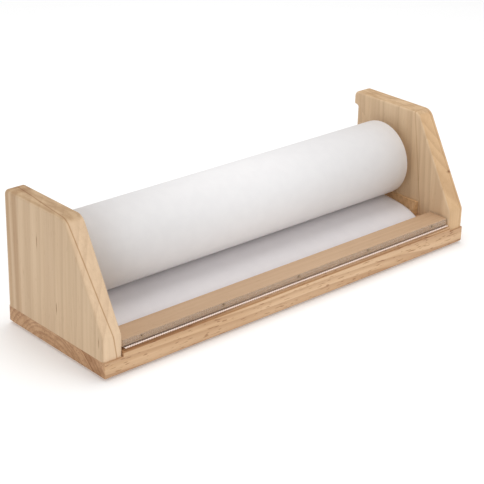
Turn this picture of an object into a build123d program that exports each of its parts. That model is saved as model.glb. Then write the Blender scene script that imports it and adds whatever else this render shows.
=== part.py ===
"""Tabletop dispenser for a 12 inch roll of paper: a pine base with two side
panels, a dowel spindle carrying the roll, a corner block along each panel and a tear bar."""
import os
from math import cos, radians, sin, tan

from build123d import *

os.makedirs("parts", exist_ok=True)

# ---- driving dimensions, mm (x along the roll, y from front to back, z up) ----
overall_w = 355.0          # outside of one panel to outside of the other
depth = 111.0              # front to back
board_t = 15.5             # stock thickness of base and panels
pad_t = 1.5                # rubber pads under the base
pad_d = 12.0
panel_h = 100.0            # top of the panels above the underside of the base
rabbet = 3.5               # the panels sit this deep in the ends of the base
panel_setback = 1.2        # front of the panels behind the front of the base
top_front = 41.2           # where the slanted edge would meet the top
knee_z = 28.0              # where the slanted edge starts
top_front_r, top_back_r, knee_r = 9.0, 4.5, 6.0

roll_len, roll_d = 304.8, 59.8
core_id, core_od = 25.4, 28.4
spindle_d = 24.6
seat_s, seat_z = 70.5, 56.5            # spindle axis: from the front, from the underside
groove_depth, groove_fit = 5.5, 0.3
groove_slope = 20.3                    # degrees up towards the back
groove_end_s = 95.5                    # the groove's roof is straight up to here
nose_s, nose_z = 107.5, 89.2           # then flares to the underside of the nose

bar_front, bar_back = 3.9, 21.7        # tear bar, from the front of the base
bar_bottom, bar_top = 17.3, 22.5
bar_gap, end_gap = 0.8, 0.3            # bar shoulders and corner blocks stop this short of the panels
tenon_w, tenon_h, tenon_len = 12.0, 3.2, 6.0

block_front, block_back, block_top = 34.5, 100.0, 26.7
block_w = 9.0                          # corner blocks, against the panels
block_flat, block_toe = 2.2, 17.6      # width of the flat top, height where the slope ends

leg_t, leg_top = 0.95, 22.0            # cutter strip: the leg against the bar
lip_t, lip_bottom, lip_tip = 0.5, 17.2, 0.2     # and the toothed lip in front
tooth_pitch, tooth_h = 2.0, 0.8
web_t = 0.2

# ---- derived ----
base_z = pad_t                         # underside of the base
inner_x = overall_w / 2 - board_t      # inner face of a panel
front_y = -depth / 2


def yz(s, z):
    """(y, z) of a point s back from the front and z above the underside."""
    return (front_y + s, base_z + z)


seat_y, seat_h = yz(seat_s, seat_z)
screw_s = (23.0, 89.0)                 # panel screws, from the front
dowel_s = (42.0, 70.0)                 # panel dowels
block_screw_s = (50.0, 86.0)           # block screws
block_screw_x = inner_x - end_gap - 3.2
screw_d, screw_head_d, screw_len = 3.5, 7.0, 30.0
sink_r = screw_head_d / 2 + 0.6
block_screw_len = 22.0
dowel_d, dowel_len = 8.0, 20.0
panel_x = overall_w / 2 - board_t / 2
panel_foot = base_z + board_t - rabbet

# ---- base board ----
with BuildPart() as base_board:
    with BuildSketch(Plane.XY.offset(base_z)):
        Rectangle(overall_w, depth)
    extrude(amount=board_t)
    fillet(base_board.edges().filter_by(Axis.Z), radius=1.5)
    fillet(base_board.edges().group_by(Axis.Z)[0], radius=1.4)
    fillet(base_board.edges().filter_by(Axis.X).group_by(Axis.Z)[-1], radius=1.0)
    with BuildSketch(Plane.XY.offset(base_z + board_t)):
        with Locations((panel_x, 0), (-panel_x, 0)):
            Rectangle(board_t, depth)
    extrude(amount=-rabbet, mode=Mode.SUBTRACT)
    with Locations(Plane.XY.offset(base_z).rotated((180, 0, 0))):
        with Locations([(x, -(front_y + s)) for x in (-panel_x, panel_x) for s in screw_s]):
            CounterSinkHole(screw_d / 2 + 0.1, sink_r, counter_sink_angle=90)
        with Locations([(x, -(front_y + s)) for x in (-block_screw_x, block_screw_x)
                        for s in block_screw_s]):
            CounterSinkHole(screw_d / 2 + 0.1, sink_r, counter_sink_angle=90)
    with BuildSketch(Plane.XY.offset(panel_foot)):
        with Locations([(x, front_y + s) for x in (-panel_x, panel_x) for s in dowel_s]):
            Circle(dowel_d / 2 + 0.05)
    extrude(amount=-(dowel_len / 2 - 1.0), mode=Mode.SUBTRACT)
base_board.part.label = "base_board"
export_step(base_board.part, "parts/base_board.step")


# ---- side panels ----
def groove_outline():
    """Sloping spindle groove: closed seat in front, flared mouth at the back edge."""
    half = spindle_d / 2 + groove_fit
    a = radians(groove_slope)
    rise, wall = tan(a), half / cos(a)
    back_s = depth + 3.0
    return [
        yz(seat_s - half * sin(a), seat_z + half * cos(a)),
        yz(groove_end_s, seat_z + (groove_end_s - seat_s) * rise + wall),
        yz(nose_s, nose_z),
        yz(depth - 2.0, nose_z),
        yz(depth - 0.6, nose_z + 0.6),
        yz(depth, nose_z + 2.0),
        yz(back_s, nose_z + 2.0),
        yz(back_s, seat_z + (back_s - seat_s) * rise - wall),
        yz(seat_s + half * sin(a), seat_z - half * cos(a)),
    ]


def side_panel(side):
    """Panel on the left (side=-1) or the right (side=+1)."""
    with BuildPart() as panel:
        with BuildSketch(Plane.YZ.offset(side * inner_x)):
            with BuildLine():
                Polyline(
                    yz(panel_setback, board_t - rabbet),
                    yz(panel_setback, knee_z),
                    yz(top_front, panel_h),
                    yz(depth, panel_h),
                    yz(depth, board_t - rabbet),
                    close=True,
                )
            make_face()
        extrude(amount=side * board_t)
        across = panel.edges().filter_by(Axis.X)
        fillet(across.group_by(Axis.Z)[-1].sort_by(Axis.Y)[0], radius=top_front_r)
        across = panel.edges().filter_by(Axis.X)
        fillet(across.group_by(Axis.Z)[-1].sort_by(Axis.Y)[-1], radius=top_back_r)
        across = panel.edges().filter_by(Axis.X)
        fillet(across.group_by(Axis.Z)[1].sort_by(Axis.Y)[0], radius=knee_r)
        outer = panel.faces().sort_by(Axis.X)[-1 if side > 0 else 0]
        foot = panel.faces().sort_by(Axis.Z)[0]
        fillet([e for e in outer.edges() if e.center().Z > panel_foot + 0.1], radius=2.4)
        inner = panel.faces().sort_by(Axis.X)[0 if side > 0 else -1]
        fillet([e for e in inner.edges() if e.center().Z > panel_foot + 0.1], radius=1.8)
        # spindle groove
        with BuildSketch(Plane.YZ.offset(side * inner_x)):
            with BuildLine():
                Polyline(*groove_outline(), close=True)
            make_face()
            with Locations((seat_y, seat_h)):
                Circle(spindle_d / 2 + groove_fit)
        extrude(amount=side * groove_depth, mode=Mode.SUBTRACT)
        # stub mortise for the tear bar
        with BuildSketch(Plane.YZ.offset(side * inner_x)):
            with Locations(yz((bar_front + bar_back) / 2, (bar_bottom + bar_top) / 2)):
                Rectangle(tenon_w + 0.2, tenon_h + 0.2)
        extrude(amount=side * (tenon_len + 0.3), mode=Mode.SUBTRACT)
        # screw and dowel holes in the foot
        with BuildSketch(Plane.XY.offset(panel_foot)):
            with Locations([(side * panel_x, front_y + s) for s in screw_s]):
                Circle(screw_d / 2 + 0.05)
        extrude(amount=screw_len - (board_t - rabbet) + 1.0, mode=Mode.SUBTRACT)
        with BuildSketch(Plane.XY.offset(panel_foot)):
            with Locations([(side * panel_x, front_y + s) for s in dowel_s]):
                Circle(dowel_d / 2 + 0.05)
        extrude(amount=dowel_len / 2 + 1.6, mode=Mode.SUBTRACT)
    return panel


left_side_panel = side_panel(-1)
left_side_panel.part.label = "left_side_panel"
export_step(left_side_panel.part, "parts/left_side_panel.step")

right_side_panel = side_panel(1)
right_side_panel.part.label = "right_side_panel"
export_step(right_side_panel.part, "parts/right_side_panel.step")


# ---- fasteners ----
def wood_screws(spots, length):
    """Countersunk screws driven up from the underside of the base."""
    with BuildPart() as screws:
        for x, y in spots:
            with BuildSketch(Plane((x, y, 0), x_dir=(1, 0, 0), z_dir=(0, -1, 0))):
                with BuildLine():
                    Polyline(
                        (0, base_z + 0.2),
                        (screw_head_d / 2, base_z + 0.2),
                        (screw_head_d / 2, base_z + 0.5),
                        (screw_d / 2, base_z + 2.25),
                        (screw_d / 2, base_z + length - 4.0),
                        (0, base_z + length),
                        close=True,
                    )
                make_face()
            revolve(axis=Axis((x, y, 0), (0, 0, 1)))
            with BuildSketch(Plane.XY.offset(base_z + 0.2)):
                with Locations((x, y)):
                    Rectangle(3.6, 0.9)
                    Rectangle(0.9, 3.6)
            extrude(amount=1.4, taper=12, mode=Mode.SUBTRACT)
    return screws


panel_spots = [(x, front_y + s) for x in (-panel_x, panel_x) for s in screw_s]
panel_screws = wood_screws(panel_spots, screw_len)
panel_screws.part.label = "panel_screws"
export_step(panel_screws.part, "parts/panel_screws.step")

block_spots = [(x, front_y + s) for x in (-block_screw_x, block_screw_x) for s in block_screw_s]
block_screws = wood_screws(block_spots, block_screw_len)
block_screws.part.label = "block_screws"
export_step(block_screws.part, "parts/block_screws.step")

with BuildPart() as panel_dowels:
    with BuildSketch(Plane.XY.offset(panel_foot - dowel_len / 2 + 1.2)):
        with Locations([(x, front_y + s) for x in (-panel_x, panel_x) for s in dowel_s]):
            Circle(dowel_d / 2)
    extrude(amount=dowel_len)
    ends = panel_dowels.edges().filter_by(GeomType.CIRCLE)
    chamfer(ends, length=0.8)
panel_dowels.part.label = "panel_dowels"
export_step(panel_dowels.part, "parts/panel_dowels.step")


# ---- corner blocks between the base and the panels ----
def corner_block(side):
    """Sloped block in the corner of the base and the left (side=-1) or the right (side=+1) panel."""
    wall, z0 = inner_x - end_gap, base_z
    with BuildPart() as block:
        with BuildSketch(Plane.XZ.offset(-(front_y + block_front))):
            with BuildLine():
                Polyline(
                    (side * wall, z0 + board_t),
                    (side * wall, z0 + block_top),
                    (side * (wall - block_flat), z0 + block_top),
                    (side * (wall - block_w), z0 + block_toe),
                    (side * (wall - block_w), z0 + board_t),
                    close=True,
                )
            make_face()
        extrude(amount=-(block_back - block_front))
        with BuildSketch(Plane.XY.offset(z0 + board_t)):
            with Locations([(side * block_screw_x, front_y + s) for s in block_screw_s]):
                Circle(screw_d / 2 + 0.05)
        extrude(amount=block_screw_len - board_t + 0.3, mode=Mode.SUBTRACT)
    return block


corner_block_left = corner_block(-1)
corner_block_left.part.label = "corner_block_left"
export_step(corner_block_left.part, "parts/corner_block_left.step")

corner_block_right = corner_block(1)
corner_block_right.part.label = "corner_block_right"
export_step(corner_block_right.part, "parts/corner_block_right.step")

# ---- tear bar and cutter ----
pin_x = (-144.0, -72.0, 0.0, 72.0, 144.0)
pin_z = base_z + 20.4
pin_d, pin_head_d, pin_len = 1.0, 1.6, 9.0
leg_front = bar_front - 0.05 - leg_t

with BuildPart() as tear_bar:
    with BuildSketch(Plane.YZ.offset(-(inner_x - bar_gap))):
        with BuildLine():
            Polyline(
                yz(bar_front, bar_bottom),
                yz(bar_front, bar_top),
                yz(bar_back, bar_top),
                yz(bar_back, bar_bottom + 3.0),
                yz(bar_back - 3.6, bar_bottom),
                close=True,
            )
        make_face()
    extrude(amount=2 * (inner_x - bar_gap))
    fillet(tear_bar.edges().filter_by(Axis.X).group_by(Axis.Z)[-1], radius=1.0)
    with BuildSketch(Plane.YZ.offset(-(inner_x + tenon_len))):
        with Locations(yz((bar_front + bar_back) / 2, (bar_bottom + bar_top) / 2)):
            Rectangle(tenon_w, tenon_h)
    extrude(amount=2 * (inner_x + tenon_len))
    with BuildSketch(Plane.XZ.offset(-(front_y + bar_front))):
        with Locations([(x, pin_z) for x in pin_x]):
            Circle(pin_d / 2 + 0.05)
    extrude(amount=-(pin_len + 0.8), mode=Mode.SUBTRACT)
tear_bar.part.label = "tear_bar"
export_step(tear_bar.part, "parts/tear_bar.step")

with BuildPart() as cutter_strip:
    teeth = 160
    half_len = teeth * tooth_pitch / 2
    root_y, tip_y = front_y + lip_tip + tooth_h, front_y + lip_tip
    back_y = front_y + leg_front + leg_t
    edge = [(-half_len, root_y)]
    for i in range(teeth):
        x = -half_len + i * tooth_pitch
        edge += [(x + tooth_pitch / 2, tip_y), (x + tooth_pitch, root_y)]
    # toothed lip, lying flat
    with BuildSketch(Plane.XY.offset(base_z + lip_bottom)):
        with BuildLine():
            Polyline(*edge, (half_len, back_y), (-half_len, back_y), close=True)
        make_face()
    extrude(amount=lip_t)
    # leg standing against the front of the bar
    with BuildSketch(Plane.XY.offset(base_z + lip_bottom)):
        with Locations((0, back_y - leg_t / 2)):
            Rectangle(2 * half_len, leg_t)
    extrude(amount=leg_top - lip_bottom)
    with BuildSketch(Plane.XZ.offset(-(front_y + leg_front))):
        with Locations([(x, pin_z) for x in pin_x]):
            Circle(pin_head_d / 2 + 0.05)
    extrude(amount=-0.5, mode=Mode.SUBTRACT)
    with BuildSketch(Plane.XZ.offset(-(front_y + leg_front))):
        with Locations([(x, pin_z) for x in pin_x]):
            Circle(pin_d / 2 + 0.05)
    extrude(amount=-leg_t, mode=Mode.SUBTRACT)
cutter_strip.part.label = "cutter_strip"
export_step(cutter_strip.part, "parts/cutter_strip.step")

with BuildPart() as cutter_pins:
    with BuildSketch(Plane.XZ.offset(-(front_y + leg_front + 0.05))):
        with Locations([(x, pin_z) for x in pin_x]):
            Circle(pin_head_d / 2)
    extrude(amount=-0.4)
    with BuildSketch(Plane.XZ.offset(-(front_y + leg_front + 0.45))):
        with Locations([(x, pin_z) for x in pin_x]):
            Circle(pin_d / 2)
    extrude(amount=-(pin_len - 0.4))
cutter_pins.part.label = "cutter_pins"
export_step(cutter_pins.part, "parts/cutter_pins.step")

# ---- spindle, core and roll ----
spindle_len = 2 * (inner_x + groove_depth) - 1.0
with BuildPart() as spindle:
    with BuildSketch(Plane.YZ.offset(-spindle_len / 2)):
        with Locations((seat_y, seat_h)):
            Circle(spindle_d / 2)
    extrude(amount=spindle_len)
    chamfer(spindle.edges().filter_by(GeomType.CIRCLE), length=1.0)
spindle.part.label = "spindle"
export_step(spindle.part, "parts/spindle.step")

with BuildPart() as core_tube:
    with BuildSketch(Plane.YZ.offset(-roll_len / 2)):
        with Locations((seat_y, seat_h)):
            Circle(core_od / 2)
            Circle(core_id / 2, mode=Mode.SUBTRACT)
    extrude(amount=roll_len)
core_tube.part.label = "core_tube"
export_step(core_tube.part, "parts/core_tube.step")

with BuildPart() as paper_roll:
    with BuildSketch(Plane.YZ.offset(-roll_len / 2)):
        with Locations((seat_y, seat_h)):
            Circle(roll_d / 2)
            Circle(core_od / 2 + 0.05, mode=Mode.SUBTRACT)
    extrude(amount=roll_len)
paper_roll.part.label = "paper_roll"
export_step(paper_roll.part, "parts/paper_roll.step")

# ---- paper drawn off the underside of the roll and under the bar ----
leave = [(seat_s + (roll_d / 2 + 0.45) * sin(radians(a)),
          seat_z - (roll_d / 2 + 0.45) * cos(radians(a))) for a in (14, 8, 2)]
run = [(66.0, 26.0), (60.4, 25.8), (54.7, 25.3), (50.2, 24.8), (44.5, 24.0), (39.9, 23.0),
       (35.4, 21.7), (30.9, 19.8), (27.4, 17.9), (24.5, 16.7), (21.0, 16.2), (15.0, 16.0), (6.0, 16.0)]
web_line = leave + run


def web_side(gap):
    """Centre line of the paper shifted by gap towards the roll side."""
    out = []
    for i, (s, z) in enumerate(web_line):
        s0, z0 = web_line[max(i - 1, 0)]
        s1, z1 = web_line[min(i + 1, len(web_line) - 1)]
        length = ((s1 - s0) ** 2 + (z1 - z0) ** 2) ** 0.5
        out.append(yz(s + gap * (z1 - z0) / length, z - gap * (s1 - s0) / length))
    return out


with BuildPart() as paper_web:
    with BuildSketch(Plane.YZ.offset(-roll_len / 2)):
        with BuildLine():
            above, below = web_side(web_t / 2), web_side(-web_t / 2)
            Spline(*above)
            Line(above[-1], below[-1])
            Spline(*reversed(below))
            Line(below[0], above[0])
        make_face()
    extrude(amount=roll_len)
paper_web.part.label = "paper_web"
export_step(paper_web.part, "parts/paper_web.step")


# ---- rubber pads ----
def foot_pad(x, s):
    with BuildPart() as pad:
        with BuildSketch(Plane.XY):
            with Locations((x, front_y + s)):
                Circle(pad_d / 2)
        extrude(amount=pad_t)
        chamfer(pad.edges().group_by(Axis.Z)[0], length=0.4)
    return pad


pad_x, pad_front, pad_back = 150.0, 12.0, 99.0
for name, x, s in (
    ("pad_front_left", -pad_x, pad_front),
    ("pad_front_right", pad_x, pad_front),
    ("pad_back_left", -pad_x, pad_back),
    ("pad_back_right", pad_x, pad_back),
):
    pad = foot_pad(x, s)
    pad.part.label = name
    export_step(pad.part, f"parts/{name}.step")
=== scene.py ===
"""Look of a wooden tabletop paper-roll dispenser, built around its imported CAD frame.

Metres, +X along the roll, +Y towards the back, +Z up, standing on its rubber pads at z = 0.
"""
import math
import random

import bmesh
import bpy
from mathutils import Matrix, Vector


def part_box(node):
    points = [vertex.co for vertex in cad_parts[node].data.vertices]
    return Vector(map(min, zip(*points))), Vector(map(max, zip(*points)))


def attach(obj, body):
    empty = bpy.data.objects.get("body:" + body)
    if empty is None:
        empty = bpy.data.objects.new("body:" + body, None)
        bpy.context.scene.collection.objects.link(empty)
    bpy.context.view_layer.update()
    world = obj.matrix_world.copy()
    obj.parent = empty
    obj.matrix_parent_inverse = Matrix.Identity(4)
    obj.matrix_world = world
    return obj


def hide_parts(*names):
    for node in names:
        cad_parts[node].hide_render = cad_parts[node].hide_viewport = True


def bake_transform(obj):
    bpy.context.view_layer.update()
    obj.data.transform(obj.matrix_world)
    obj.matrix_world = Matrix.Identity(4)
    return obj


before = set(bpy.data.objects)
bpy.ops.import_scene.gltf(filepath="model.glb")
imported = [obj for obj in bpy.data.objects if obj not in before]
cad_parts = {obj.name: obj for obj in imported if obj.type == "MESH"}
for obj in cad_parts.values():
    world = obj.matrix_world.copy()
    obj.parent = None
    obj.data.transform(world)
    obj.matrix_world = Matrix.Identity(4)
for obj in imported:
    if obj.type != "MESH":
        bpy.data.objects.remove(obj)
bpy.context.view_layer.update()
MM = 0.001

core_low, core_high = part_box("core_tube")
roll_low, roll_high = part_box("paper_roll")
AXIS_Y, AXIS_Z = (roll_low.y + roll_high.y) / 2, (roll_low.z + roll_high.z) / 2
ROLL_R = (roll_high.z - roll_low.z) / 2
CORE_R = (core_high.z - core_low.z) / 2
HALF = roll_high.x                     # half the width of the roll and of the sheet
RIB_PITCH = 2.0 * MM                   # teeth and ribs of the clear strip


# ---------------------------------------------------------------- shader helper
class Value:
    """A shader socket that can be used in Python expressions."""

    def __init__(self, finish, socket):
        self.finish, self.socket = finish, socket

    def math(self, operation, *operands):
        return self.finish.add("Math", {"operation": operation}, operands)

    def __add__(self, other): return self.math("ADD", self, other)
    def __sub__(self, other): return self.math("SUBTRACT", self, other)
    def __rsub__(self, other): return self.math("SUBTRACT", other, self)
    def __mul__(self, other): return self.math("MULTIPLY", self, other)
    def __truediv__(self, other): return self.math("DIVIDE", self, other)
    def __rtruediv__(self, other): return self.math("DIVIDE", other, self)
    def __neg__(self): return self * -1.0
    def __abs__(self): return self.math("ABSOLUTE", self)

    __radd__, __rmul__ = __add__, __mul__

    def fract(self): return self.math("FRACT", self)
    def root(self): return self.math("SQRT", self)

    def ramp(self, low, high):
        """Smooth step: 0 at low, 1 at high."""
        return self.finish.add("MapRange", {"interpolation_type": "SMOOTHSTEP"}, [self, low, high])


class Finish:
    """A procedural material on a Principled shader."""

    def __init__(self, name, **constants):
        self.material = bpy.data.materials.new(name)
        self.material.use_nodes = True
        self.tree = self.material.node_tree
        self.shader = self.tree.nodes["Principled BSDF"]
        for socket, value in constants.items():
            self.shader.inputs[socket.replace("_", " ")].default_value = value
        self.place = self.add("TexCoord", out="Object")
        self.facing = self.add("TexCoord", out="Normal")

    def add(self, kind, settings=None, inputs=(), out=0):
        """A shader node with its settings and its sockets' values or links."""
        node = self.tree.nodes.new("ShaderNode" + kind)
        for key, value in (settings or {}).items():
            setattr(node, key, value)
        pairs = inputs.items() if isinstance(inputs, dict) else enumerate(inputs)
        for key, value in pairs:
            if isinstance(value, Value):
                self.tree.links.new(value.socket, node.inputs[key])
            elif isinstance(value, tuple) and len(value) == 3 and node.inputs[key].type == "RGBA":
                node.inputs[key].default_value = (*value, 1.0)
            else:
                node.inputs[key].default_value = value
        return Value(self, node.outputs[out])

    def split(self, vector):
        node = self.add("SeparateXYZ", None, [vector]).socket.node
        return [Value(self, node.outputs[i]) for i in range(3)]

    def join(self, x, y, z):
        return self.add("CombineXYZ", None, [x, y, z])

    def noise(self, where, scale=1.0, detail=2.0, rough=0.5):
        return self.add("TexNoise", None, {"Vector": where, "Scale": scale, "Detail": detail,
                                           "Roughness": rough})

    def mix(self, share, first, second):
        """Colour mix: first where share is 0, second where it is 1."""
        return self.add("Mix", {"data_type": "RGBA"}, {0: share, 6: first, 7: second}, out=2)

    def tint(self, share, colour, tone):
        """Colour multiplied by tone where share is 1."""
        return self.add("Mix", {"data_type": "RGBA", "blend_type": "MULTIPLY"},
                        {0: share, 6: colour, 7: tone}, out=2)

    def feed(self, **sockets):
        """Links values to the shader's own sockets."""
        for socket, value in sockets.items():
            self.tree.links.new(value.socket, self.shader.inputs[socket.replace("_", " ")])

    def bump(self, height, distance, strength=1.0):
        self.feed(Normal=self.add("Bump", None, {"Height": height, "Distance": distance,
                                                 "Strength": strength}, out="Normal"))


# ---------------------------------------------------------------- finishes
KNOT_DEPTH = 3.0 * MM                  # how far a knot goes in from the face it shows on
LAYER_WANDER = 1.6 * MM                # how far a dark layer strays from its plane
END_SHARE = 0.8                        # strength of the look of a sawn end
FLECK, FIBRE, RING_AND_SHADE_TONE = (0.52, 0.36, 0.25), (0.80, 0.72, 0.64), (0.62, 0.47, 0.33)
KNOT, END_MOTTLE = (0.42, 0.27, 0.17), (0.66, 0.56, 0.46)


def wood(name, along, heart, ring, tones, late_share=0.3, fleck=0.3, fleck_from=0.66, cloudy=0.5,
         knots=(), layers=(), lean=0.0, warp=0.004, end=(0.62, 0.50, 0.44),
         end_grain=(260.0, 70.0), front=None, seed=0.0):
    """Sawn wood with its grain along X or Z.

    heart       centre of the rings on the two axes across the grain; ring is their width
    tones       pale wood, tan wood and the late rings; late_share is how strong those are
    fleck       strength of the small dark flecks; the higher fleck_from, the fewer
    knots       (place, width, length)
    layers      dark late rings seen on edge, and bands of painted shade: (normal, offset, thickness, share)
    lean, warp  how the rings drift along the board, and how wavy they are
    end         tint of the sawn ends; end_grain is how fine their mottling is
    front       tint of the faces that look forward, painted light and shade by which way a face looks
    """
    pale, tan, late = tones
    f = Finish(name, IOR=1.45)
    x, y, z = f.split(f.place)
    run, a, b = (x, y, z) if along == "X" else (z, x, y)

    # Rings round the heart, each with a late band that ends sharply.
    slow = f.noise(f.join(run * 5.0 + seed, a * 26.0, b * 26.0), detail=1.0)
    dx, dy = a - heart[0] - run * lean, b - heart[1]
    radius = (dx * dx + dy * dy).root() + (slow - 0.5) * (warp * 2.0)
    uneven = f.noise(f.join(radius * 130.0, seed, 0.5), detail=0.0)
    phase = (radius / ring + (uneven - 0.5) * 1.6).fract()
    ring_line = phase.ramp(0.25, 0.93) * (1.0 - phase.ramp(0.94, 1.0))

    # Long streaks and fibres, broad blotches and short flecks.
    streak = f.noise(f.join(run * 7.0 + seed, a * 420.0, b * 420.0), detail=3.0, rough=0.6)
    fibre = f.noise(f.join(run * 45.0 + seed, a * 2600.0, b * 2600.0), detail=2.0)
    blotch = f.noise(f.join(run * 9.0 - seed, a * 30.0, b * 30.0), detail=2.0)
    pores = f.noise(f.join(run * 130.0 + seed, a * 950.0, b * 950.0), detail=1.0)
    colour = f.mix(blotch.ramp(0.3, 0.7) * cloudy + streak.ramp(0.3, 0.72) * 0.45, pale, tan)
    colour = f.mix(ring_line * late_share, colour, late)
    colour = f.tint(pores.ramp(fleck_from, fleck_from + 0.08) * fleck, colour, FLECK)
    colour = f.tint(fibre.ramp(0.35, 0.7) * 0.18, colour, FIBRE)

    # Dark bands along planes: late rings seen on edge, and painted shade where a band stands for a
    # shadow.
    for (lx, ly, lz), offset, thick, share in layers:
        off = abs(x * lx + y * ly + z * lz - offset + (slow - 0.5) * LAYER_WANDER)
        colour = f.tint((1.0 - off.ramp(thick * 0.25, thick)) * share, colour, RING_AND_SHADE_TONE)
    for (kx, ky, kz), width, length in knots:
        shift = f.join((x - kx) / KNOT_DEPTH, (y - ky) / width, (z - kz) / length)
        far = f.add("VectorMath", {"operation": "LENGTH"}, [shift], out="Value")
        far = far + (f.noise(f.join(x * 900.0, y * 1600.0, z * 300.0), detail=2.0) - 0.5) * 1.2
        colour = f.tint((1.0 - far.ramp(0.15, 1.0)) * 0.85, colour, KNOT)

    # Sawn ends are darker and mottled.
    nx, ny, nz = f.split(f.facing)
    cut = abs(nx if along == "X" else nz).ramp(0.55, 0.95) * END_SHARE
    mottle = f.noise(f.join(run * 200.0, a * end_grain[0], b * end_grain[1] + seed), detail=3.0)
    colour = f.mix(cut, colour, f.tint(mottle.ramp(0.38, 0.62) * 0.6, colour, END_MOTTLE))
    colour = f.tint(cut, colour, end)
    # Painted light and shade: front tints the faces that look forward, lighter above one and darker
    # below.
    if front:
        colour = f.tint((-ny).ramp(0.45, 0.80), colour, front)
    f.feed(Base_Color=colour, Roughness=0.52 + streak * 0.12 + cut * 0.15)
    f.bump(fibre * 0.6 + streak * 0.4 - ring_line * 0.4, 0.00012, 0.5)
    return f.material


def paper(name, light, shade):
    """Uncoated paper with a fine tooth."""
    f = Finish(name)
    tooth = f.noise(f.place, 2600.0, 3.0, 0.6)
    cloud = f.noise(f.place, 120.0, 2.0)
    colour = f.mix(cloud.ramp(0.35, 0.65) * 0.6 + tooth * 0.4, light, shade)
    f.feed(Base_Color=colour, Roughness=0.66 + tooth * 0.14)
    f.bump(tooth, 0.00002, 0.4)
    return f.material


def wound_edges(name):
    """Cut ends of the roll: fine wound layers with a few that stand out."""
    f = Finish(name, Roughness=0.85)
    x, y, z = f.split(f.place)
    dy, dz = y - AXIS_Y, z - AXIS_Z
    radius = (dy * dy + dz * dz).root()
    fine = f.noise(f.join(radius * 5200.0, 0.3, 0.1), detail=1.0)
    coarse = f.noise(f.join(radius * 620.0, 0.7, 0.4), detail=2.0)
    dust = f.noise(f.place, 900.0, 2.0)
    dark = fine.ramp(0.45, 0.75) * 0.45 + coarse.ramp(0.5, 0.8) * 0.4 + dust.ramp(0.5, 0.8) * 0.15
    f.feed(Base_Color=f.mix(dark, (0.78, 0.765, 0.76), (0.55, 0.525, 0.52)))
    f.bump(fine * 0.5 + coarse * 0.5, 0.00012, 0.7)
    return f.material


def cardboard(name):
    """Grey-brown tube with the seam of its spiral winding."""
    f = Finish(name, Roughness=0.85)
    winds, seam_half = 14.0, 0.03      # turns per metre, half width as a share of one turn
    x, y, z = f.split(f.place)
    fibre = f.noise(f.place, 1500.0, 4.0, 0.7)
    turn = f.add("Math", {"operation": "ARCTAN2"}, [z - AXIS_Z, y - AXIS_Y]) / (2.0 * math.pi)
    wrap = (x * winds + turn).fract()
    seam = 1.0 - abs(wrap - 0.5).ramp(0.0, seam_half)
    colour = f.mix(fibre.ramp(0.3, 0.7), (0.50, 0.36, 0.23), (0.36, 0.25, 0.16))
    colour = f.tint(seam * 0.6, colour, (0.6, 0.55, 0.5))
    f.feed(Base_Color=colour)
    f.bump(fibre * 0.6 - seam * 0.4, 0.0001, 0.6)
    return f.material


def clear_plastic(name):
    """Clear strip: nearly all of the light passes, least of it at the ribs."""
    f = Finish(name, IOR=1.49)
    x, y, z = f.split(f.place)
    haze = f.noise(f.place, 240.0, 3.0, 0.6)
    rub = f.noise(f.join(x * 900.0, 0.0, z * 120.0), detail=2.0)
    rib = (abs((x / RIB_PITCH).fract() - 0.5) * 2.0).ramp(0.3, 0.8)
    f.feed(Base_Color=f.mix(haze.ramp(0.3, 0.7), (0.62, 0.56, 0.50), (0.50, 0.44, 0.39)),
           Alpha=0.04 + haze * 0.08 + rib * 0.08, Roughness=0.12 + rub.ramp(0.55, 0.8) * 0.20)
    f.bump(rub, 0.00002, 0.2)
    return f.material


def frosted_edge_and_painted_light(name):
    """Saw-cut lip and teeth of the clear strip, frosted, so they catch the light. Their pinkish colour
    is painted light, the wood's colour seen through them.
    """
    f = Finish(name, IOR=1.49)
    grit = f.noise(f.place, 1800.0, 2.0)
    f.feed(Base_Color=f.mix(grit.ramp(0.35, 0.65), (0.94, 0.78, 0.70), (0.84, 0.66, 0.57)),
           Roughness=0.35 + grit * 0.25)
    f.bump(grit, 0.00005, 0.5)
    return f.material


def metal(name, light, dark):
    """Plated or plain metal with a faint spangle."""
    f = Finish(name, Metallic=1.0)
    spangle = f.noise(f.place, 1400.0, 3.0, 0.6)
    f.feed(Base_Color=f.mix(spangle.ramp(0.35, 0.65), light, dark),
           Roughness=0.28 + spangle * 0.25)
    f.bump(spangle, 0.00003, 0.4)
    return f.material


def rubber(name):
    """Matt black rubber."""
    f = Finish(name)
    speck = f.noise(f.place, 2200.0, 3.0, 0.7)
    f.feed(Base_Color=f.mix(speck.ramp(0.3, 0.7), (0.020, 0.020, 0.020), (0.045, 0.044, 0.042)),
           Roughness=0.70 + speck * 0.2)
    f.bump(speck, 0.00006, 0.6)
    return f.material


def studio_floor(name):
    """Pale backdrop, lit a little from within so that it stays white."""
    f = Finish(name, Roughness=0.9, Emission_Strength=0.16)
    cloud = f.noise(f.place, 3.0, 1.0)
    f.feed(Base_Color=f.mix(cloud, (0.92, 0.92, 0.92), (0.90, 0.90, 0.90)),
           Emission_Color=f.mix(cloud, (1.0, 1.0, 1.0), (0.97, 0.97, 0.97)))
    return f.material


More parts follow.
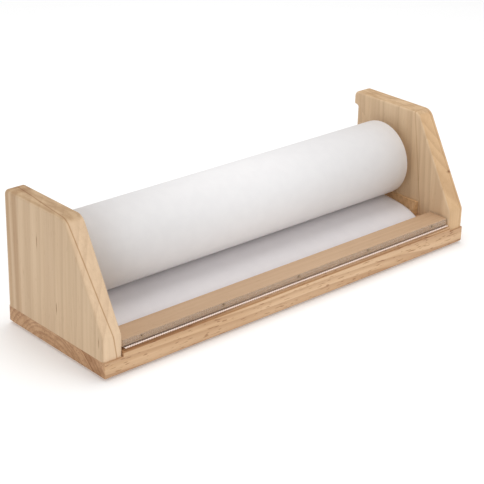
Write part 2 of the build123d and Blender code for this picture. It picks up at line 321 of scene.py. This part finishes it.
# Each wood: pale, tan, late rings. Places below are in metres in the frame of the whole piece.
PINE = ((0.77, 0.535, 0.330), (0.65, 0.415, 0.230), (0.45, 0.240, 0.120))
# The two panels' pines differ partly as boards do and partly as painted light: the left panel's is set
# darker as painted shade, the right panel's lighter as painted light.
GREY_PINE_PAINTED_SHADE = ((0.70, 0.515, 0.335), (0.59, 0.418, 0.258), (0.42, 0.262, 0.150))
RIGHT_PINE = ((0.80, 0.595, 0.390), (0.70, 0.495, 0.300), (0.50, 0.32, 0.185))
# The blocks' pine is more orange than the others as painted light: warm light bounced into the shade
# they stand in.
BLOCK_PINE = ((0.80, 0.53, 0.28), (0.70, 0.44, 0.215), (0.52, 0.30, 0.15))
BAR_PINE = ((0.58, 0.390, 0.243), (0.49, 0.318, 0.190), (0.37, 0.23, 0.133))
BIRCH = ((0.78, 0.58, 0.38), (0.70, 0.50, 0.31), (0.56, 0.38, 0.22))
ZINC = ((0.66, 0.66, 0.64), (0.50, 0.50, 0.49))
TOP_END = (0.84, 0.79, 0.71)           # sawn tops of the panels, hardly darker than the faces
base_pine = wood("pine_base", "X", (0.010, -0.030), 0.0042, PINE, late_share=0.50, fleck=0.75,
                 layers=[((0.0, 0.631, -0.776), -0.0296, 0.0007, 0.9),
                         ((0.0, 0.631, -0.776), -0.0345, 0.0060, 0.4),
                         ((0.0030, 0.0, 1.0), 0.0164, 0.0009, 1.0)],   # painted shade: the top darkened under the bar, where the slot is in shadow
                 cloudy=0.7, lean=0.03, warp=0.006, end=(0.80, 0.72, 0.68),
                 end_grain=(160.0, 260.0), fleck_from=0.625, seed=3.1)
left_pine = wood("pine_left", "Z", (-0.330, 0.150), 0.0085, GREY_PINE_PAINTED_SHADE, late_share=0.22, fleck=0.15,
                 knots=[((-0.1775, 0.0178, 0.0750), 0.0006, 0.0075),
                        ((-0.1775, -0.0029, 0.0334), 0.0007, 0.0055),
                        ((-0.1775, -0.0492, 0.0261), 0.0006, 0.0050)],
                 layers=[((1.0, -0.11, 0.15), -0.1590, 0.0007, 0.8),
                         ((0.0, 1.0, -0.02), 0.0420, 0.0050, 0.45),
                         ((0.0, 1.0, 0.0), 0.0510, 0.0026, 0.45)],
                 # front lightens the faces that look forward: painted light
                 end=TOP_END, front=(1.16, 1.16, 1.18), cloudy=0.3, lean=0.02, seed=7.7)
right_pine = wood("pine_right", "Z", (0.300, 0.170), 0.0080, RIGHT_PINE, late_share=0.32, fleck=0.20,
                  knots=[((0.1740, -0.0393, 0.0565), 0.0010, 0.0020)],
                  layers=[((0.0, 1.0, -0.155), -0.0264, 0.0007, 0.45),
                          ((1.0, 0.0, 0.0), 0.1740, 0.0006, 0.5)],
                  # front darkens and warms the faces that look forward: painted shade
                  end=TOP_END, front=(0.93, 0.84, 0.72), lean=0.05, seed=12.4)
block_pine = wood("pine_block", "X", (0.060, -0.050), 0.0035, BLOCK_PINE, seed=21.0)
bar_pine = wood("pine_bar", "X", (-0.045, -0.120), 0.0022, BAR_PINE, late_share=0.25, fleck=0.15,
                warp=0.001, seed=30.5)
dowel_wood = wood("birch_dowel", "X", (0.020, 0.040), 0.0030, BIRCH, late_share=0.25, fleck=0.2,
                  warp=0.001, seed=41.0)
peg_wood = wood("birch_peg", "Z", (0.020, 0.040), 0.0030, BIRCH, late_share=0.25, fleck=0.2,
                warp=0.001, seed=45.0)

FINISHES = {
    "base_board": base_pine,
    "left_side_panel": left_pine,
    "right_side_panel": right_pine,
    "corner_block_left": block_pine,
    "corner_block_right": block_pine,
    "tear_bar": bar_pine,
    "spindle": dowel_wood,
    "panel_dowels": peg_wood,
    "core_tube": cardboard("cardboard_core"),
    "cutter_pins": metal("pin_brass", (0.40, 0.31, 0.20), (0.30, 0.22, 0.14)),
    "panel_screws": metal("screw_zinc", *ZINC),
    "block_screws": metal("block_screw_zinc", *ZINC),
}
pad_rubber = rubber("pad_rubber")
for pad in ("pad_front_left", "pad_front_right", "pad_back_left", "pad_back_right"):
    FINISHES[pad] = pad_rubber
for node, material in FINISHES.items():
    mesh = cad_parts[node].data
    mesh.materials.clear()
    mesh.materials.append(material)


# ---------------------------------------------------------------- pieces
def piece(name, body, materials, mesh_maker, replaced):
    """A new mesh object on a body, in place of one CAD node; mesh_maker fills an empty bmesh."""
    built = bmesh.new()
    mesh_maker(built)
    bmesh.ops.recalc_face_normals(built, faces=built.faces)
    mesh = bpy.data.meshes.new(name)
    built.to_mesh(mesh)
    built.free()
    for material in materials:
        mesh.materials.append(material)
    made = bpy.data.objects.new(name, mesh)
    bpy.context.scene.collection.objects.link(made)
    if body:                           # a piece that crosses a joint is left without a body here
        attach(made, body)
    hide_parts(replaced)
    return made


def wound_roll(built):
    """Roll of paper: its outer turn steps down by one thickness, its ends show uneven layers."""
    rng = random.Random(11)
    turns, steps = 192, 34             # points round the roll, layers shown on each end
    inner = CORE_R + 0.05 * MM
    outer_step = 0.12 * MM             # where the outer turn ends
    uneven, stray, stray_chance = 0.28, 0.25 * MM, 0.12         # how far layers sink in
    ripple, seam_angle = 0.03 * MM, 1.2
    sunk = [0.0]
    for i in range(steps):
        sunk.append(rng.uniform(0.0, uneven) * MM + (stray if rng.random() < stray_chance else 0.0))
    sunk[-1] = 0.05 * MM
    rings = []
    for side in (-1, 1):
        for i in range(steps + 1):
            radius = inner + (ROLL_R - inner) * i / steps
            ring = []
            for k in range(turns):
                angle = 2 * math.pi * k / turns
                r = radius - (outer_step * (k / turns) if i == steps else 0.0)
                x = side * (HALF - sunk[i] - ripple * math.sin(3 * angle + i))
                ring.append(built.verts.new((x, AXIS_Y + r * math.cos(angle - seam_angle),
                                             AXIS_Z + r * math.sin(angle - seam_angle))))
            rings.append(ring)
    left, right = rings[:steps + 1], rings[steps + 1:]
    chain = left + right[::-1]
    for i in range(len(chain)):
        ring, following = chain[i], chain[(i + 1) % len(chain)]
        on_end = i not in (steps, len(chain) - 1)      # not the outer face or the bore
        for k in range(turns):
            face = built.faces.new((ring[k], ring[(k + 1) % turns],
                                    following[(k + 1) % turns], following[k]))
            face.material_index = 1 if on_end else 0
            face.smooth = i == steps


# The paper's slight pink is painted light: warm light bounced from the wood.
white_paper = paper("white_paper", (0.875, 0.860, 0.860), (0.850, 0.835, 0.838))
# The sheet is the roll's paper, given a darker, pinker colour as painted shade.
shaded_sheet_paper = paper("shaded_sheet_paper", (0.790, 0.755, 0.760), (0.765, 0.730, 0.738))
piece("wound_roll", "roll_body", [white_paper, wound_edges("wound_edges")], wound_roll,
      "paper_roll")

# The sheet leaves the roll's underside, runs forward over the base and dips under the bar. Its
# line is (back from the base's front edge, up from the base's underside), in millimetres.
FRONT_Y, UNDERSIDE = -55.5, 1.5
SEAT = (70.5, 56.5)                    # axis of the roll
LEAVE_R = 30.02                        # the sheet's middle layer while it still hugs the roll
LEAVE = [(SEAT[0] + LEAVE_R * math.sin(math.radians(angle)),
          SEAT[1] - LEAVE_R * math.cos(math.radians(angle))) for angle in (14, 8, 2)]
RUN = [(66.0, 26.3), (60.4, 25.9), (54.7, 25.4), (50.2, 24.8), (44.5, 24.0), (39.9, 23.0), (35.4, 21.7),
       (30.9, 19.8), (27.4, 17.9), (24.5, 16.7), (21.0, 16.2), (15.0, 16.0), (6.0, 16.0)]


def smooth_line(points, per_span):
    """Points along a Catmull-Rom curve through the given ones."""
    line = []
    ends = [points[0]] + list(points) + [points[-1]]
    for i in range(1, len(ends) - 2):
        p0, p1, p2, p3 = (Vector(ends[i + k]) for k in (-1, 0, 1, 2))
        for k in range(per_span):
            t = k / per_span
            line.append(0.5 * ((2 * p1) + (p2 - p0) * t + (2 * p0 - 5 * p1 + 4 * p2 - p3) * t * t
                               + (3 * p1 - p0 - 3 * p2 + p3) * t ** 3))
    line.append(Vector(points[-1]))
    return line


web_line = smooth_line([Vector((0.0, p[0], p[1])) for p in LEAVE + RUN], 6)
web_length = sum((b - a).length for a, b in zip(web_line, web_line[1:])) * MM


def drawn_sheet(built):
    """Thin sheet with a torn, finely toothed front edge."""
    columns, thickness, tear = 168, 0.11, 0.45
    last = len(web_line) - 1
    layers = []
    for shift in (0.5, -0.5):
        grid = []
        for i, point in enumerate(web_line):
            ahead = web_line[min(i + 1, last)] - web_line[max(i - 1, 0)]
            ahead.normalize()
            normal = Vector((0.0, -ahead.z, ahead.y))
            row = []
            for k in range(columns + 1):
                x = -HALF + 2 * HALF * k / columns
                torn = tear * (k % 2) if i == last else 0.0
                y = point.y + normal.y * thickness * shift + torn
                z = point.z + normal.z * thickness * shift
                row.append(built.verts.new((x, (FRONT_Y + y) * MM, (UNDERSIDE + z) * MM)))
            grid.append(row)
        layers.append(grid)
    top, under = layers
    for i in range(last):
        for k in range(columns):
            for face in ((top[i][k], top[i][k + 1], top[i + 1][k + 1], top[i + 1][k]),
                         (under[i][k], under[i + 1][k], under[i + 1][k + 1], under[i][k + 1])):
                built.faces.new(face).smooth = True
    rim = [(0, k) for k in range(columns)] + [(i, columns) for i in range(last)]
    rim += [(last, k) for k in range(columns, 0, -1)] + [(i, 0) for i in range(last, 0, -1)]
    for (i, k), (j, m) in zip(rim, rim[1:] + rim[:1]):
        built.faces.new((top[i][k], under[i][k], under[j][m], top[j][m]))


web = piece("drawn_sheet", None, [shaded_sheet_paper], drawn_sheet, "paper_web")
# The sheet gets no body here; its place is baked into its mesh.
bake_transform(web)

strip_low, strip_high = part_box("cutter_strip")


def toothed_strip(built):
    """Clear strip: a leg against the bar and a thinner lip whose front edge is cut into teeth."""
    tooth, rib, count = 0.8 * MM, 0.16 * MM, 160
    leg_t, lip_t, chamfer = 0.95 * MM, 0.5 * MM, 0.2 * MM
    frosted = 0.9 * MM                 # the lip is frosted this far back from its tips
    lip_z = strip_low.z + lip_t
    sections = []
    for i in range(2 * count + 1):
        x = strip_low.x + RIB_PITCH * i / 2
        root = i % 2 == 0
        leg_y = strip_high.y - leg_t + (rib if root else 0.0)
        tip = strip_low.y + (tooth if root else 0.0)
        outline = [(leg_y + chamfer, strip_high.z), (leg_y, strip_high.z - chamfer), (leg_y, lip_z),
                   (tip + frosted, lip_z), (tip + 0.1 * MM, lip_z - chamfer), (tip, strip_low.z),
                   (strip_high.y, strip_low.z), (strip_high.y, strip_high.z)]
        sections.append([built.verts.new((x, y, z)) for y, z in outline])
    for left, right in zip(sections, sections[1:]):
        for j in range(len(left)):
            k = (j + 1) % len(left)
            face = built.faces.new((left[j], right[j], right[k], left[k]))
            face.material_index = 1 if j in (3, 4) else 0      # front of the lip
    built.faces.new(sections[0][::-1])
    built.faces.new(sections[-1])


piece("toothed_strip", "frame",
      [clear_plastic("clear_strip"), frosted_edge_and_painted_light("frosted_teeth_and_painted_light")], toothed_strip, "cutter_strip")


# ---------------------------------------------------------------- stage, light, camera
FLOOR = 4.0                            # from the middle to each edge
floor_mesh = bpy.data.meshes.new("floor")
floor_mesh.from_pydata([(-FLOOR, -FLOOR, 0), (FLOOR, -FLOOR, 0), (FLOOR, FLOOR, 0),
                        (-FLOOR, FLOOR, 0)], [], [(0, 1, 2, 3)])
floor_mesh.materials.append(studio_floor("pale_floor"))
floor = bpy.data.objects.new("floor", floor_mesh)
bpy.context.scene.collection.objects.link(floor)


def area_light(name, place, target, size, power):
    """Round soft light aimed at target; size in metres, power in watts."""
    light = bpy.data.lights.new(name, "AREA")
    light.shape, light.size, light.energy = "DISK", size, power
    holder = bpy.data.objects.new(name, light)
    holder.location = place
    holder.rotation_euler = (Vector(target) - Vector(place)).to_track_quat("-Z", "Y").to_euler()
    bpy.context.scene.collection.objects.link(holder)


area_light("overhead", (0.15, 0.22, 1.48), (0, 0, 0), 1.1, 9.2)
area_light("left_key", (-1.6, -0.6, 0.65), (0, 0, 0.05), 0.6, 2.9)
area_light("front_fill", (0.4, -1.25, 0.85), (0.05, 0, 0.04), 0.9, 2.8)

world = bpy.data.worlds.new("studio")
bpy.context.scene.world = world
world.use_nodes = True
world.node_tree.nodes["Background"].inputs["Color"].default_value = (1.0, 1.0, 1.0, 1.0)
world.node_tree.nodes["Background"].inputs["Strength"].default_value = 0.60
bpy.context.scene.view_settings.view_transform = "Standard"

CAMERA_AT = Vector((-0.67814, -0.73291, 0.47745))
CAMERA_AIM = Vector((0.61541, 0.67414, -0.40842))
CAMERA_ROLL = math.radians(1.404)
camera_data = bpy.data.cameras.new("camera")
camera_data.sensor_width = 36.0
camera_data.lens = 109.62
camera = bpy.data.objects.new("camera", camera_data)
bpy.context.scene.collection.objects.link(camera)
bpy.context.scene.camera = camera
turn = CAMERA_AIM.to_track_quat("-Z", "Y").to_matrix().to_4x4()
camera.matrix_world = (Matrix.Translation(CAMERA_AT) @ turn
                       @ Matrix.Rotation(CAMERA_ROLL, 4, "Z"))
